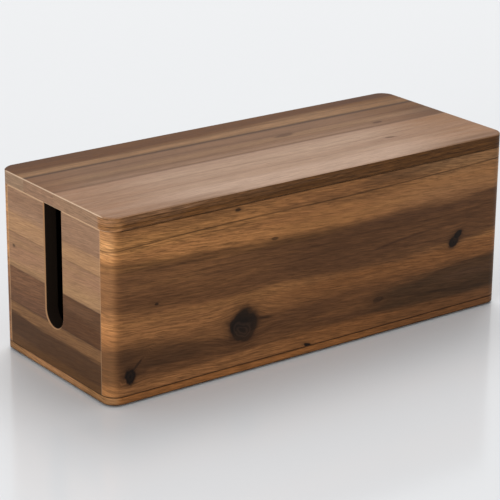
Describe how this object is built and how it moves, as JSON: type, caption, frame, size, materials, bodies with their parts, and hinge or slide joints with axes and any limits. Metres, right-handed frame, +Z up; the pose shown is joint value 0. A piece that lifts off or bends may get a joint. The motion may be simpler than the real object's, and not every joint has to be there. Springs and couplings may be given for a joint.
{
  "type": "cable management box",
  "caption": "Rectangular wooden box with rounded upright corners, a lift-off lid and a tall cable slot in each end, for hiding a power strip and spare cable.",
  "frame": {"origin": "centre of the footprint, on the surface that the feet stand on", "axes": "+X along the length towards the right end, +Y from front to back, +Z up"},
  "size_m": [0.4, 0.16, 0.1535],
  "materials": {
    "walnut": "oiled, golden brown with dark bands",
    "beech": "plain",
    "zinc_plated_steel": "bright zinc plating",
    "rubber": "matt"
  },
  "bodies": {
    "box": {"front_board": "walnut", "rear_board": "walnut", "base_board": "walnut", "left_bottom_stave": "walnut", "left_low_front_stave": "walnut", "left_low_rear_stave": "walnut", "left_middle_front_stave": "walnut", "left_middle_rear_stave": "walnut", "left_top_front_stave": "walnut", "left_top_rear_stave": "walnut", "right_bottom_stave": "walnut", "right_low_front_stave": "walnut", "right_low_rear_stave": "walnut", "right_middle_front_stave": "walnut", "right_middle_rear_stave": "walnut", "right_top_front_stave": "walnut", "right_top_rear_stave": "walnut", "corner_dowels": "beech", "base_screws": "zinc_plated_steel", "front_left_foot": "rubber", "front_right_foot": "rubber", "rear_left_foot": "rubber", "rear_right_foot": "rubber"},
    "lid": {"lid_front_stave": "walnut", "lid_middle_stave": "walnut", "lid_rear_stave": "walnut", "front_batten": "walnut", "rear_batten": "walnut", "batten_screws": "zinc_plated_steel"}
  },
  "joints": [
    {"name": "lid_lift", "type": "slide", "parent": "box", "child": "lid", "axis": [0, 0, 1], "range_m": [0, 0.1]}
  ]
}
